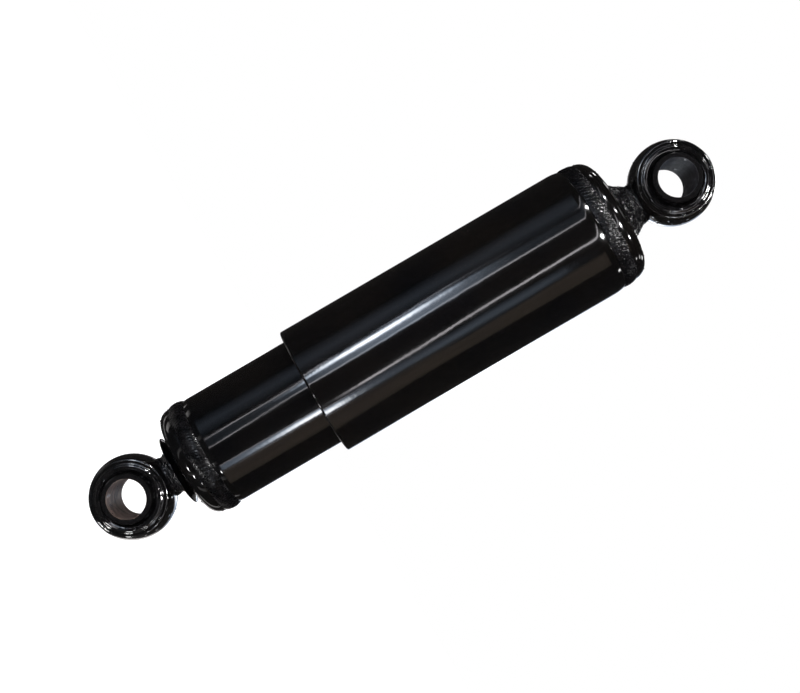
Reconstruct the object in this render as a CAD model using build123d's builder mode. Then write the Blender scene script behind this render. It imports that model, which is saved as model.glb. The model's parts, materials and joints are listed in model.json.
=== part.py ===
# Twin-tube hydraulic shock absorber for a trailer axle, with an eye at each end and a steel dust cover
# The origin is the middle of the lower eye's bore, Z runs up the shock to the upper eye
# The bores of both eyes run along Y
# Every length is in millimetres, and the shock stands at its mounting length
import os

from build123d import *

os.makedirs("parts", exist_ok=True)

# Travel from the mounting length
compression_travel = 62.0
extension_travel = 60.0

# Eyes: a steel ring, a rubber bush and a steel sleeve for the mounting bolt
bolt_bore_diameter = 24.0
sleeve_wall = 3.0
sleeve_length = 50.0
sleeve_edge_chamfer = 0.6
rubber_wall = 6.2
ring_wall = 5.0
ring_width = 34.0
ring_barrel_rise = 2.6
ring_edge_fillet = 1.6
rubber_lip_recess = 0.5
rubber_bead_height = 2.6
rubber_groove_width = 0.5

# Necks between the eyes and the two tubes
lower_neck_length = 10.2
lower_neck_radius = 12.2
lower_neck_spread = 2.4
upper_neck_length = 12.7
upper_neck_root_radius = 19.6
upper_neck_end_radius = 12.2
upper_neck_foot_height = 2.4
upper_neck_foot_taper = 0.4
weld_saddle_depth = 4.5

# Dished flange disc under the base
flange_hole_radius = 13.0
flange_radius = 22.2
flange_foot_radius = 21.3
flange_height = 5.3
flange_thickness = 1.8

# Reservoir, its base cap and the seam weld round it
reservoir_diameter = 70.0
reservoir_wall = 2.5
base_cap_wall = 4.0
base_shoulder_radius = 8.0
base_inner_fillet = 4.0
base_rim_height = 13.5
base_spigot_height = 4.0
base_spigot_wall = 2.5
base_weld_half_width = 5.4
base_weld_rise = 1.5

# Pressure tube
cylinder_bore = 45.0
pressure_tube_wall = 1.6

# Sides of a bolt head or nut
hexagon_sides = 6

# Base valve, pressed into the foot of the pressure tube
foot_height = 9.5
foot_wall = 3.1
foot_slot_width = 7.0
foot_slot_height = 5.0
foot_slot_count = 4
base_plate_flange_height = 4.0
base_plate_spigot_height = 4.0
base_bolt_radius = 4.0
base_bolt_head_height = 4.0
base_bolt_head_flats = 13.0
base_nut_height = 5.0
base_nut_flats = 13.0
base_outer_hole_radius = 2.2
base_outer_hole_pitch_radius = 17.0
base_outer_hole_count = 8
base_inner_hole_radius = 1.5
base_inner_hole_pitch_radius = 10.6
base_inner_hole_count = 6

# Valve discs and springs, alike at the piston and at the base
shim_count = 3
compression_shim_thickness = 0.4
rebound_shim_thickness = 0.5
shim_step = 1.3
shim_overlap = 1.0
check_plate_thickness = 1.0
check_plate_overlap = 1.2
check_lift = 1.2
check_spring_room = 1.6
check_spring_spread = 1.4
check_spring_width = 0.9
check_stop_thickness = 2.0
check_stop_overhang = 1.0
check_boss_wall = 1.8
check_window_radius = 1.8

# Piston and its stack on the rod
rod_diameter = 20.0
rod_stud_diameter = 14.0
rod_neck_diameter = 16.0
piston_length = 16.0
piston_gap = 0.35
band_height = 8.0
band_depth = 1.8
piston_outer_hole_radius = 2.0
piston_outer_hole_pitch_radius = 17.4
piston_outer_hole_count = 8
piston_inner_hole_radius = 1.5
piston_inner_hole_pitch_radius = 13.2
piston_inner_hole_count = 6
piston_nut_height = 8.0
piston_nut_flats = 22.0
stop_collar_height = 4.0
stop_collar_wall = 4.0
buffer_height = 8.0
buffer_wall = 5.5
buffer_edge_fillet = 1.5

# Rod guide, seals and gland nut at the top of the reservoir
guide_spigot_height = 8.0
guide_flange_height = 8.0
guide_bush_wall = 1.5
guide_drain_radius = 2.0
guide_drain_count = 4
guide_drain_margin = 0.6
o_ring_section = 1.9
o_ring_groove_width = 2.5
seal_height = 7.0
seal_wall = 10.0
seal_lip_wall = 2.5
seal_cavity_width = 3.6
seal_cavity_height = 4.0
garter_section = 1.4
backing_washer_thickness = 1.5
gland_web_height = 8.0
wiper_height = 6.0
wiper_wall = 4.0
wiper_lip_height = 1.0
wiper_lip_wall = 1.8
spanner_hole_radius = 2.5
spanner_hole_depth = 4.0
spanner_hole_count = 4

# Dust cover and its cap
cover_gap = 4.5
cover_wall = 1.75
cover_length = 194.3
cover_cap_wall = 3.0
cover_cap_skirt_height = 12.0
cover_shoulder_radius = 9.0
cover_weld_height = 9.3
cover_weld_bulge = 0.35

# Clearances between pieces that move on each other, measured on the radius
running_clearance = 0.05
rod_clearance = 0.04
loose_clearance = 0.3
band_side_clearance = 0.1
bore_clearance = 1.0
seal_pocket_clearance = 0.5
stack_end_clearance = 2.0
buffer_end_clearance = 1.0
cover_end_clearance = 4.4

# Radii worked out from the sizes above
bolt_bore_radius = bolt_bore_diameter / 2
sleeve_radius = bolt_bore_radius + sleeve_wall
ring_inner_radius = sleeve_radius + rubber_wall
ring_radius = ring_inner_radius + ring_wall
reservoir_radius = reservoir_diameter / 2
reservoir_inner_radius = reservoir_radius - reservoir_wall
cylinder_radius = cylinder_bore / 2
pressure_tube_radius = cylinder_radius + pressure_tube_wall
rod_radius = rod_diameter / 2
rod_stud_radius = rod_stud_diameter / 2
rod_neck_radius = rod_neck_diameter / 2
rod_passage_radius = rod_radius + rod_clearance
piston_radius = cylinder_radius - piston_gap
cover_inner_radius = reservoir_radius + cover_gap
cover_radius = cover_inner_radius + cover_wall
seal_radius = rod_radius + seal_wall
seal_pocket_radius = seal_radius + seal_pocket_clearance
wiper_radius = rod_radius + wiper_wall

# Heights from the lower eye to the top of the base valve
base_height = ring_radius + lower_neck_length
flange_floor = base_height - flange_thickness
floor_height = base_height + base_cap_wall
base_rim = base_height + base_rim_height
valve_plate_bottom = floor_height + foot_height
tube_seat = valve_plate_bottom + base_plate_flange_height
base_valve_seat = tube_seat + base_plate_spigot_height
check_room = check_plate_thickness + check_lift + check_spring_room
base_stop_bottom = base_valve_seat + check_room
base_nut_bottom = base_stop_bottom + check_stop_thickness
base_valve_top = base_nut_bottom + base_nut_height

# Heights of the piston's stack, nut first
rod_bottom = base_valve_top + stack_end_clearance + compression_travel
rebound_shim_bottom = rod_bottom + piston_nut_height
piston_bottom = rebound_shim_bottom + shim_count * rebound_shim_thickness
piston_top = piston_bottom + piston_length
piston_stop_bottom = piston_top + check_room
rod_shoulder = piston_stop_bottom + check_stop_thickness
collar_top = rod_shoulder + stop_collar_height
buffer_top = collar_top + buffer_height

# Heights of the guide and of the top of the reservoir
guide_bottom = buffer_top + buffer_end_clearance + extension_travel
tube_top = guide_bottom + guide_spigot_height
guide_top = tube_top + guide_flange_height
seal_top = guide_top + seal_height
gland_web_bottom = seal_top + backing_washer_thickness
reservoir_top = gland_web_bottom + gland_web_height

# Heights of the dust cover and of the upper eye
cap_inside = reservoir_top + cover_end_clearance + compression_travel
cap_top = cap_inside + cover_cap_wall
cover_top = cap_top - cover_shoulder_radius - cover_weld_height
cover_bottom = cover_top - cover_length
rod_top = cap_top + upper_neck_length
eye_spacing = rod_top + ring_radius


# Helpers that draw outlines and save pieces
def save(piece, name):
    """Label a finished piece and write it as a STEP file."""
    piece.part.label = name
    export_step(piece.part, f"parts/{name}.step")


def outline(*points):
    """A closed face through (radius, height) points, in the plane of X and Z."""
    with BuildSketch(Plane.XZ) as face:
        with BuildLine():
            Polyline(*points, close=True)
        make_face()
    return face.sketch


def tube_outline(inner_radius, outer_radius, bottom, top):
    """The cut face of a plain tube or washer that stands on the Z axis."""
    return outline((inner_radius, bottom), (outer_radius, bottom), (outer_radius, top), (inner_radius, top))


def bore_axis(height):
    """The axis of the eye whose middle is at this height."""
    return Axis((0, 0, height), (0, 1, 0))


def ring_outline(height, inner_radius):
    """The cut face of an eye ring with a barrel-shaped outside, at this height."""
    half_width = ring_width / 2
    edge_radius = ring_radius - ring_barrel_rise
    with BuildSketch(Plane.XY.offset(height)) as face:
        with BuildLine():
            Polyline(
                (edge_radius, -half_width),
                (inner_radius, -half_width),
                (inner_radius, half_width),
                (edge_radius, half_width),
            )
            ThreePointArc((edge_radius, half_width), (ring_radius, 0), (edge_radius, -half_width))
        make_face()
        fillet(face.vertices().group_by(Axis.X)[-1], radius=ring_edge_fillet)
    return face.sketch


# Eye rings, rubber bushes and sleeves, alike at both ends
def eye_ring(height):
    """A steel ring whose bore holds the rubber bush."""
    with BuildPart() as ring:
        revolve(ring_outline(height, ring_inner_radius), axis=bore_axis(height))
    return ring


def eye_rubber(height):
    """A rubber bush with a round bead at each end, between the ring and the sleeve."""
    bond_radius = sleeve_radius + running_clearance
    bead_start = bond_radius + rubber_groove_width
    bead_crest = (bead_start + ring_inner_radius) / 2
    lip = ring_width / 2 - rubber_lip_recess
    with BuildPart() as rubber:
        with BuildSketch(Plane.XY.offset(height)) as face:
            with BuildLine():
                Polyline((bond_radius, 0), (bond_radius, lip), (bead_start, lip))
                ThreePointArc(
                    (bead_start, lip),
                    (bead_crest, lip + rubber_bead_height),
                    (ring_inner_radius, lip),
                )
                Line((ring_inner_radius, lip), (ring_inner_radius, 0))
                mirror(about=Plane.XZ)
            make_face()
        revolve(axis=bore_axis(height))
    return rubber


def bush_sleeve(height):
    """A steel sleeve for the mounting bolt, chamfered outside at each end."""
    half_length = sleeve_length / 2
    with BuildPart() as sleeve:
        with BuildSketch(Plane.XY.offset(height)) as face:
            with BuildLine():
                Polyline(
                    (bolt_bore_radius, -half_length),
                    (sleeve_radius, -half_length),
                    (sleeve_radius, half_length),
                    (bolt_bore_radius, half_length),
                    close=True,
                )
            make_face()
            chamfer(face.vertices().group_by(Axis.X)[-1], length=sleeve_edge_chamfer)
        revolve(axis=bore_axis(height))
    return sleeve


for end, eye_height in (("lower", 0), ("upper", eye_spacing)):
    save(eye_ring(eye_height), f"{end}_eye_ring")
    save(eye_rubber(eye_height), f"{end}_eye_rubber")
    save(bush_sleeve(eye_height), f"{end}_bush_sleeve")

# Weld neck between the lower eye and the base, cut to the ring's outside
with BuildPart() as lower_eye_weld:
    neck_foot_radius = lower_neck_radius + lower_neck_spread
    revolve(
        outline(
            (0, ring_radius - weld_saddle_depth),
            (lower_neck_radius, ring_radius - weld_saddle_depth),
            (lower_neck_radius, ring_radius),
            (neck_foot_radius, base_height - flange_height),
            (neck_foot_radius, flange_floor),
            (flange_hole_radius, flange_floor),
            (flange_hole_radius, base_height),
            (0, base_height),
        )
    )
    revolve(ring_outline(0, 0), axis=bore_axis(0), mode=Mode.SUBTRACT)
save(lower_eye_weld, "lower_eye_weld")

# Dished flange disc whose rim points at the lower eye
with BuildPart() as base_flange:
    revolve(
        outline(
            (flange_hole_radius, base_height),
            (flange_foot_radius, base_height),
            (flange_radius, base_height - flange_height),
            (flange_radius - flange_thickness, base_height - flange_height),
            (flange_foot_radius - flange_thickness, flange_floor),
            (flange_hole_radius, flange_floor),
        )
    )
save(base_flange, "base_flange")

# Pressed base cap, with a spigot inside the reservoir tube
with BuildPart() as base_cap:
    spigot_inner_radius = reservoir_inner_radius - base_spigot_wall
    spigot_top = base_rim + base_spigot_height
    with BuildSketch(Plane.XZ) as base_cap_face:
        with BuildLine():
            Polyline(
                (0, base_height),
                (reservoir_radius, base_height),
                (reservoir_radius, base_rim),
                (reservoir_inner_radius, base_rim),
                (reservoir_inner_radius, spigot_top),
                (spigot_inner_radius, spigot_top),
                (spigot_inner_radius, floor_height),
                (0, floor_height),
                close=True,
            )
        make_face()
        shoulder_corner = base_cap_face.vertices().group_by(Axis.Y)[0].sort_by(Axis.X)[-1]
        fillet(shoulder_corner, radius=base_shoulder_radius)
        floor_corner = base_cap_face.vertices().filter_by_position(
            Axis.Y, floor_height, floor_height
        ).sort_by(Axis.X)[-1]
        fillet(floor_corner, radius=base_inner_fillet)
    revolve()
save(base_cap, "base_cap")

# Seam weld round the joint of the base cap and the reservoir tube
with BuildPart() as base_seam_weld:
    with BuildSketch(Plane.XZ):
        with BuildLine():
            base_bead = ThreePointArc(
                (reservoir_radius, base_rim - base_weld_half_width),
                (reservoir_radius + base_weld_rise, base_rim),
                (reservoir_radius, base_rim + base_weld_half_width),
            )
            Line(base_bead @ 1, base_bead @ 0)
        make_face()
    revolve()
save(base_seam_weld, "base_seam_weld")

# Reservoir tube and pressure tube
with BuildPart() as reservoir_tube:
    revolve(tube_outline(reservoir_inner_radius, reservoir_radius, base_rim, reservoir_top))
save(reservoir_tube, "reservoir_tube")

with BuildPart() as pressure_tube:
    revolve(tube_outline(cylinder_radius, pressure_tube_radius, tube_seat, tube_top))
save(pressure_tube, "pressure_tube")


# Pieces that the piston valve and the base valve share
def shim_stack(name, hole_radius, cover_radius, top, thickness):
    """Spring-steel discs under a valve body, the widest on top, each saved by itself."""
    for index in range(shim_count):
        with BuildPart() as shim:
            shim_top = top - index * thickness
            shim_radius = cover_radius - index * shim_step
            revolve(tube_outline(hole_radius, shim_radius, shim_top - thickness, shim_top))
        save(shim, f"{name}_{index + 1}")


def hex_nut(hole_radius, flats, bottom, height):
    """A plain hexagon nut."""
    with BuildPart() as nut:
        with BuildSketch(Plane.XY.offset(bottom)):
            RegularPolygon(flats / 2, hexagon_sides, major_radius=False)
            Circle(hole_radius, mode=Mode.SUBTRACT)
        extrude(amount=height)
    return nut


def check_plate(boss_radius, cover_radius, seat, window_pitch_radius, window_count):
    """A flat disc that lifts off the outer holes, with windows over the inner ones."""
    plate_top = seat + check_plate_thickness
    with BuildPart() as plate:
        revolve(tube_outline(boss_radius + loose_clearance, cover_radius, seat, plate_top))
        with Locations((0, 0, plate_top)):
            with PolarLocations(window_pitch_radius, window_count):
                Hole(check_window_radius, check_plate_thickness)
    return plate


def check_spring(boss_radius, seat):
    """A conical spring washer between the check plate and its stop."""
    top_radius = boss_radius + loose_clearance
    foot_radius = top_radius + check_spring_spread
    plate_top = seat + check_plate_thickness
    with BuildPart() as spring:
        revolve(
            outline(
                (foot_radius, plate_top),
                (foot_radius + check_spring_width, plate_top),
                (top_radius + check_spring_width, seat + check_room),
                (top_radius, seat + check_room),
            )
        )
    return spring


def check_stop(hole_radius, boss_radius, seat):
    """A stepped washer: the boss guides the check plate, the disc holds its spring."""
    spring_radius = boss_radius + loose_clearance + check_spring_spread + check_spring_width
    disc_radius = spring_radius + check_stop_overhang
    disc_bottom = seat + check_room
    disc_top = disc_bottom + check_stop_thickness
    with BuildPart() as stop:
        revolve(
            outline(
                (hole_radius, seat),
                (boss_radius, seat),
                (boss_radius, disc_bottom),
                (disc_radius, disc_bottom),
                (disc_radius, disc_top),
                (hole_radius, disc_top),
            )
        )
    return stop


# Base valve body, with slots for the oil in its foot
with BuildPart() as base_valve_body:
    foot_inner_radius = pressure_tube_radius - foot_wall
    revolve(
        outline(
            (base_bolt_radius, valve_plate_bottom),
            (foot_inner_radius, valve_plate_bottom),
            (foot_inner_radius, floor_height),
            (pressure_tube_radius, floor_height),
            (pressure_tube_radius, tube_seat),
            (cylinder_radius, tube_seat),
            (cylinder_radius, base_valve_seat),
            (base_bolt_radius, base_valve_seat),
        )
    )
    with BuildSketch(Plane.XY.offset(floor_height)):
        with PolarLocations(pressure_tube_radius, foot_slot_count):
            Rectangle(2 * (foot_wall + bore_clearance), foot_slot_width)
    extrude(amount=foot_slot_height, mode=Mode.SUBTRACT)
    with Locations((0, 0, base_valve_seat)):
        with PolarLocations(base_outer_hole_pitch_radius, base_outer_hole_count):
            Hole(base_outer_hole_radius, base_valve_seat - valve_plate_bottom)
        with PolarLocations(base_inner_hole_pitch_radius, base_inner_hole_count):
            Hole(base_inner_hole_radius, base_valve_seat - valve_plate_bottom)
save(base_valve_body, "base_valve_body")

# Shims, bolt, check plate, spring, stop and nut of the base valve
base_shim_radius = base_inner_hole_pitch_radius + base_inner_hole_radius + shim_overlap
shim_stack(
    "compression_shim", base_bolt_radius, base_shim_radius, valve_plate_bottom, compression_shim_thickness
)

with BuildPart() as base_valve_bolt:
    head_top = valve_plate_bottom - shim_count * compression_shim_thickness
    with BuildSketch(Plane.XY.offset(head_top - base_bolt_head_height)):
        RegularPolygon(base_bolt_head_flats / 2, hexagon_sides, major_radius=False)
    extrude(amount=base_bolt_head_height)
    with BuildSketch(Plane.XY.offset(head_top)):
        Circle(base_bolt_radius)
    extrude(amount=base_valve_top - head_top)
save(base_valve_bolt, "base_valve_bolt")

base_boss_radius = base_bolt_radius + check_boss_wall
base_check_radius = base_outer_hole_pitch_radius + base_outer_hole_radius + check_plate_overlap
base_check_plate = check_plate(
    base_boss_radius,
    base_check_radius,
    base_valve_seat,
    base_inner_hole_pitch_radius,
    base_inner_hole_count,
)
save(base_check_plate, "base_check_plate")
save(check_spring(base_boss_radius, base_valve_seat), "base_check_spring")
save(check_stop(base_bolt_radius, base_boss_radius, base_valve_seat), "base_check_stop")
save(hex_nut(base_bolt_radius, base_nut_flats, base_nut_bottom, base_nut_height), "base_valve_nut")

# Piston with a groove for its band and two rings of oil holes
band_bottom = piston_bottom + (piston_length - band_height) / 2
band_top = band_bottom + band_height
groove_radius = piston_radius - band_depth

with BuildPart() as piston:
    revolve(tube_outline(rod_stud_radius, piston_radius, piston_bottom, piston_top))
    revolve(
        tube_outline(
            groove_radius,
            cylinder_radius,
            band_bottom - band_side_clearance,
            band_top + band_side_clearance,
        ),
        mode=Mode.SUBTRACT,
    )
    with Locations((0, 0, piston_top)):
        with PolarLocations(piston_outer_hole_pitch_radius, piston_outer_hole_count):
            Hole(piston_outer_hole_radius, piston_length)
        with PolarLocations(piston_inner_hole_pitch_radius, piston_inner_hole_count):
            Hole(piston_inner_hole_radius, piston_length)
save(piston, "piston")

# Band that seals the piston in the pressure tube, free to turn on the piston
with BuildPart() as piston_band:
    revolve(
        tube_outline(
            groove_radius + running_clearance,
            cylinder_radius - running_clearance,
            band_bottom,
            band_top,
        )
    )
save(piston_band, "piston_band")

# Shims, check plate, spring, stop and nut of the piston
rebound_shim_radius = piston_inner_hole_pitch_radius + piston_inner_hole_radius + shim_overlap
shim_stack("rebound_shim", rod_stud_radius, rebound_shim_radius, piston_bottom, rebound_shim_thickness)

piston_boss_radius = rod_stud_radius + check_boss_wall
piston_check_radius = piston_outer_hole_pitch_radius + piston_outer_hole_radius + check_plate_overlap
piston_check_plate = check_plate(
    piston_boss_radius,
    piston_check_radius,
    piston_top,
    piston_inner_hole_pitch_radius,
    piston_inner_hole_count,
)
save(piston_check_plate, "piston_check_plate")
save(check_spring(piston_boss_radius, piston_top), "piston_check_spring")
save(check_stop(rod_stud_radius, piston_boss_radius, piston_top), "piston_check_stop")
save(hex_nut(rod_stud_radius, piston_nut_flats, rod_bottom, piston_nut_height), "piston_nut")

# Piston rod: a stud for the piston, the ground rod, and a neck through the cover cap
with BuildPart() as piston_rod:
    revolve(
        outline(
            (0, rod_bottom),
            (rod_stud_radius, rod_bottom),
            (rod_stud_radius, rod_shoulder),
            (rod_radius, rod_shoulder),
            (rod_radius, cap_inside),
            (rod_neck_radius, cap_inside),
            (rod_neck_radius, rod_top),
            (0, rod_top),
        )
    )
save(piston_rod, "piston_rod")

# Collar and rubber buffer that stop the extension
with BuildPart() as rebound_stop_collar:
    revolve(tube_outline(rod_radius, rod_radius + stop_collar_wall, rod_shoulder, collar_top))
save(rebound_stop_collar, "rebound_stop_collar")

with BuildPart() as rebound_buffer:
    with BuildSketch(Plane.XZ) as buffer_face:
        with BuildLine():
            Polyline(
                (rod_radius, collar_top),
                (rod_radius + buffer_wall, collar_top),
                (rod_radius + buffer_wall, buffer_top),
                (rod_radius, buffer_top),
                close=True,
            )
        make_face()
        fillet(buffer_face.vertices().group_by(Axis.X)[-1], radius=buffer_edge_fillet)
    revolve()
save(rebound_buffer, "rebound_buffer")

# Rod guide between the pressure tube and the reservoir, with its bush and O-ring
guide_bore_radius = rod_passage_radius + guide_bush_wall
o_ring_height = (tube_top + guide_top) / 2

with BuildPart() as rod_guide:
    revolve(
        outline(
            (guide_bore_radius, guide_bottom),
            (cylinder_radius, guide_bottom),
            (cylinder_radius, tube_top),
            (reservoir_inner_radius, tube_top),
            (reservoir_inner_radius, guide_top),
            (guide_bore_radius, guide_top),
        )
    )
    revolve(
        tube_outline(
            reservoir_inner_radius - o_ring_section,
            reservoir_radius,
            o_ring_height - o_ring_groove_width / 2,
            o_ring_height + o_ring_groove_width / 2,
        ),
        mode=Mode.SUBTRACT,
    )
    with Locations((0, 0, guide_top)):
        with PolarLocations(
            pressure_tube_radius + guide_drain_radius + guide_drain_margin, guide_drain_count
        ):
            Hole(guide_drain_radius, guide_flange_height)
save(rod_guide, "rod_guide")

with BuildPart() as rod_guide_bush:
    revolve(tube_outline(rod_passage_radius, guide_bore_radius, guide_bottom, guide_top))
save(rod_guide_bush, "rod_guide_bush")

with BuildPart() as guide_o_ring:
    with Locations((0, 0, o_ring_height)):
        Torus(reservoir_inner_radius - o_ring_section / 2, o_ring_section / 2)
save(guide_o_ring, "guide_o_ring")

# Rod seal, whose lip is squeezed by a garter spring, and the washer behind it
seal_lip_radius = rod_passage_radius + seal_lip_wall

with BuildPart() as rod_seal:
    cavity_radius = seal_lip_radius + seal_cavity_width
    cavity_top = guide_top + seal_cavity_height
    revolve(
        outline(
            (rod_passage_radius, guide_top),
            (seal_lip_radius, guide_top),
            (seal_lip_radius, cavity_top),
            (cavity_radius, cavity_top),
            (cavity_radius, guide_top),
            (seal_radius, guide_top),
            (seal_radius, seal_top),
            (rod_passage_radius, seal_top),
        )
    )
save(rod_seal, "rod_seal")

with BuildPart() as seal_garter_spring:
    with Locations((0, 0, guide_top + seal_cavity_height / 2)):
        Torus(seal_lip_radius + garter_section / 2, garter_section / 2)
save(seal_garter_spring, "seal_garter_spring")

with BuildPart() as seal_backing_washer:
    revolve(tube_outline(rod_radius + bore_clearance, seal_radius, seal_top, gland_web_bottom))
save(seal_backing_washer, "seal_backing_washer")

# Gland nut that clamps the guide and the seal, and the wiper in its mouth
wiper_seat = reservoir_top - wiper_height

with BuildPart() as gland_nut:
    revolve(
        outline(
            (seal_pocket_radius, guide_top),
            (reservoir_inner_radius, guide_top),
            (reservoir_inner_radius, reservoir_top),
            (wiper_radius, reservoir_top),
            (wiper_radius, wiper_seat),
            (rod_radius + bore_clearance, wiper_seat),
            (rod_radius + bore_clearance, gland_web_bottom),
            (seal_pocket_radius, gland_web_bottom),
        )
    )
    with Locations((0, 0, reservoir_top)):
        with PolarLocations((wiper_radius + reservoir_inner_radius) / 2, spanner_hole_count):
            Hole(spanner_hole_radius, spanner_hole_depth)
save(gland_nut, "gland_nut")

with BuildPart() as wiper_seal:
    revolve(
        outline(
            (rod_passage_radius, wiper_seat),
            (wiper_radius, wiper_seat),
            (wiper_radius, reservoir_top),
            (rod_passage_radius + wiper_lip_wall, reservoir_top + wiper_lip_height),
            (rod_passage_radius, reservoir_top + wiper_lip_height),
        )
    )
save(wiper_seal, "wiper_seal")

# Dust cover: a pressed cap, the tube round its skirt, and the seam weld that joins them
with BuildPart() as cover_cap:
    cap_inner_radius = cover_inner_radius - cover_cap_wall
    skirt_bottom = cover_top - cover_cap_skirt_height
    with BuildSketch(Plane.XZ) as cover_cap_face:
        with BuildLine():
            Polyline(
                (rod_neck_radius, cap_top),
                (cover_inner_radius, cap_top),
                (cover_inner_radius, skirt_bottom),
                (cap_inner_radius, skirt_bottom),
                (cap_inner_radius, cap_inside),
                (rod_neck_radius, cap_inside),
                close=True,
            )
        make_face()
        outer_corner = cover_cap_face.vertices().group_by(Axis.Y)[-1].sort_by(Axis.X)[-1]
        fillet(outer_corner, radius=cover_shoulder_radius)
        inner_corner = cover_cap_face.vertices().filter_by_position(
            Axis.Y, cap_inside, cap_inside
        ).sort_by(Axis.X)[-1]
        fillet(inner_corner, radius=cover_shoulder_radius - cover_cap_wall)
    revolve()
save(cover_cap, "cover_cap")

with BuildPart() as dust_cover_tube:
    revolve(tube_outline(cover_inner_radius, cover_radius, cover_bottom, cover_top))
save(dust_cover_tube, "dust_cover_tube")

with BuildPart() as cover_seam_weld:
    bead_top = cover_top + cover_weld_height
    bead_middle_radius = (cover_inner_radius + cover_radius) / 2 + cover_weld_bulge
    with BuildSketch(Plane.XZ):
        with BuildLine():
            Polyline(
                (cover_inner_radius, bead_top),
                (cover_inner_radius, cover_top),
                (cover_radius, cover_top),
            )
            ThreePointArc(
                (cover_radius, cover_top),
                (bead_middle_radius, (cover_top + bead_top) / 2),
                (cover_inner_radius, bead_top),
            )
        make_face()
    revolve()
save(cover_seam_weld, "cover_seam_weld")

# Weld neck between the cover cap, the rod's neck and the upper eye
with BuildPart() as upper_eye_weld:
    saddle_top = rod_top + weld_saddle_depth
    revolve(
        outline(
            (rod_neck_radius, cap_top),
            (upper_neck_root_radius, cap_top),
            (upper_neck_root_radius - upper_neck_foot_taper, cap_top + upper_neck_foot_height),
            (upper_neck_end_radius, rod_top),
            (upper_neck_end_radius, saddle_top),
            (rod_neck_radius, saddle_top),
        )
    )
    revolve(ring_outline(eye_spacing, 0), axis=bore_axis(eye_spacing), mode=Mode.SUBTRACT)
save(upper_eye_weld, "upper_eye_weld")
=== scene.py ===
"""Paint, welds, rubber and a studio for a trailer shock absorber with an eye at each end."""
import json
import math
import random

import bmesh
import bpy
from mathutils import Matrix, Vector, noise
from mathutils.bvhtree import BVHTree

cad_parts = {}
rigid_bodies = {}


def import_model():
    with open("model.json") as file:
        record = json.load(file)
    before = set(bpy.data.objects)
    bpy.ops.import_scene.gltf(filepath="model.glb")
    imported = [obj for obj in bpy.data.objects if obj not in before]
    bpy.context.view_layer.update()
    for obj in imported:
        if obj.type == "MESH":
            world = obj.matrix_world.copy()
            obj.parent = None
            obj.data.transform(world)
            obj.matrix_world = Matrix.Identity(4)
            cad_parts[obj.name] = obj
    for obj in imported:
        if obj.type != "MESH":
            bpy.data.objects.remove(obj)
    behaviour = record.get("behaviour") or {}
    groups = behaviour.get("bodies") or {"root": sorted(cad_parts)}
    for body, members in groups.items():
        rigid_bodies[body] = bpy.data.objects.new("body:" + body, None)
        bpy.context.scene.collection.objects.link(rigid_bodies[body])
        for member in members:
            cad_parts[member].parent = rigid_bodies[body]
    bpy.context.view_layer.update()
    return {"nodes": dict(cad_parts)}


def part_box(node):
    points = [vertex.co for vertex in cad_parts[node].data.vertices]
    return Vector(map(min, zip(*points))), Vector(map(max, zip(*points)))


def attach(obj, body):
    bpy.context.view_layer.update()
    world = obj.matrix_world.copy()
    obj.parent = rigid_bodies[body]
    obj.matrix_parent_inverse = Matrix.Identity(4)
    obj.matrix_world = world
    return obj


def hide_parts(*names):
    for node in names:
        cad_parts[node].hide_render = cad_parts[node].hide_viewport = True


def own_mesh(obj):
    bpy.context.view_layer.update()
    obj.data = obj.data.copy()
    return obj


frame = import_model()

bl_info = {
    "name": "Trailer Shock Absorber",
    "version": (1, 0, 0),
    "blender": (4, 5, 0),
    "location": "View3D > Sidebar > Shock",
    "description": "Dresses the shock absorber's solids with paint, welds, rubber and steel",
    "category": "Object",
}

MM = 0.001
TURN = 2 * math.pi
NECK_ROOT = 0.0122  # radius of a weld neck where it leaves its eye ring
BEAD_DEPTH = 0.0012  # how far the hidden back of a seam bead lies inside the wall


# Sizes read from the solids
def eye_height(end):
    """Height of the middle of the eye at one end."""
    low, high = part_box(f"{end}_bush_sleeve")
    return ((low + high) / 2).z


def node_radius(name):
    """Half of a round node's width across X."""
    low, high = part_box(name)
    return (high.x - low.x) / 2


def hole_radius(name, eye=None):
    """Radius of the hole through a node, round the shock's axis or round the bolt of the eye at this height."""
    spots = [vertex.co for vertex in frame["nodes"][name].data.vertices]
    return min(math.hypot(spot.x, spot.y if eye is None else spot.z - eye) for spot in spots)


UPPER_EYE = eye_height("upper")
LOWER_EYE = eye_height("lower")


# Places round the shock's axis
def polar(radius, angle, z):
    """A point at a radius and an angle in radians round the axis."""
    return Vector((radius * math.cos(angle), radius * math.sin(angle), z))


def from_front(degrees, reach, z):
    """A point at a distance from the axis, this many degrees to the right of the front."""
    turn = math.radians(degrees)
    return Vector((reach * math.sin(turn), -reach * math.cos(turn), z))


# Settings in the sidebar
def color_property(name, description, default):
    return bpy.props.FloatVectorProperty(
        name=name, description=description, subtype="COLOR", size=3, min=0, max=1, default=default)


def length_property(name, description, low, high, default):
    """A length in metres, from low to high."""
    return bpy.props.FloatProperty(
        name=name, description=description, subtype="DISTANCE", unit="LENGTH", min=low, max=high, default=default)


def seed_property(description, default):
    return bpy.props.IntProperty(name="Seed", description=description, min=0, default=default)


class PaintSettings(bpy.types.PropertyGroup):
    """Gloss black paint on the tubes, caps and rings."""

    color: color_property("Colour", "Colour of the black paint", (0.0020, 0.0021, 0.0025))
    warm_color: color_property("Warm colour", "Brown cast where the coat is thin", (0.0046, 0.0037, 0.0031))
    roughness: bpy.props.FloatProperty(
        name="Roughness", description="Roughness of the fresh gloss", subtype="FACTOR", min=0, max=1, default=0.085)
    peel_size: length_property("Orange peel size", "Width of one dimple of the orange peel", 0.0005, 0.01, 0.0032)


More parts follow.
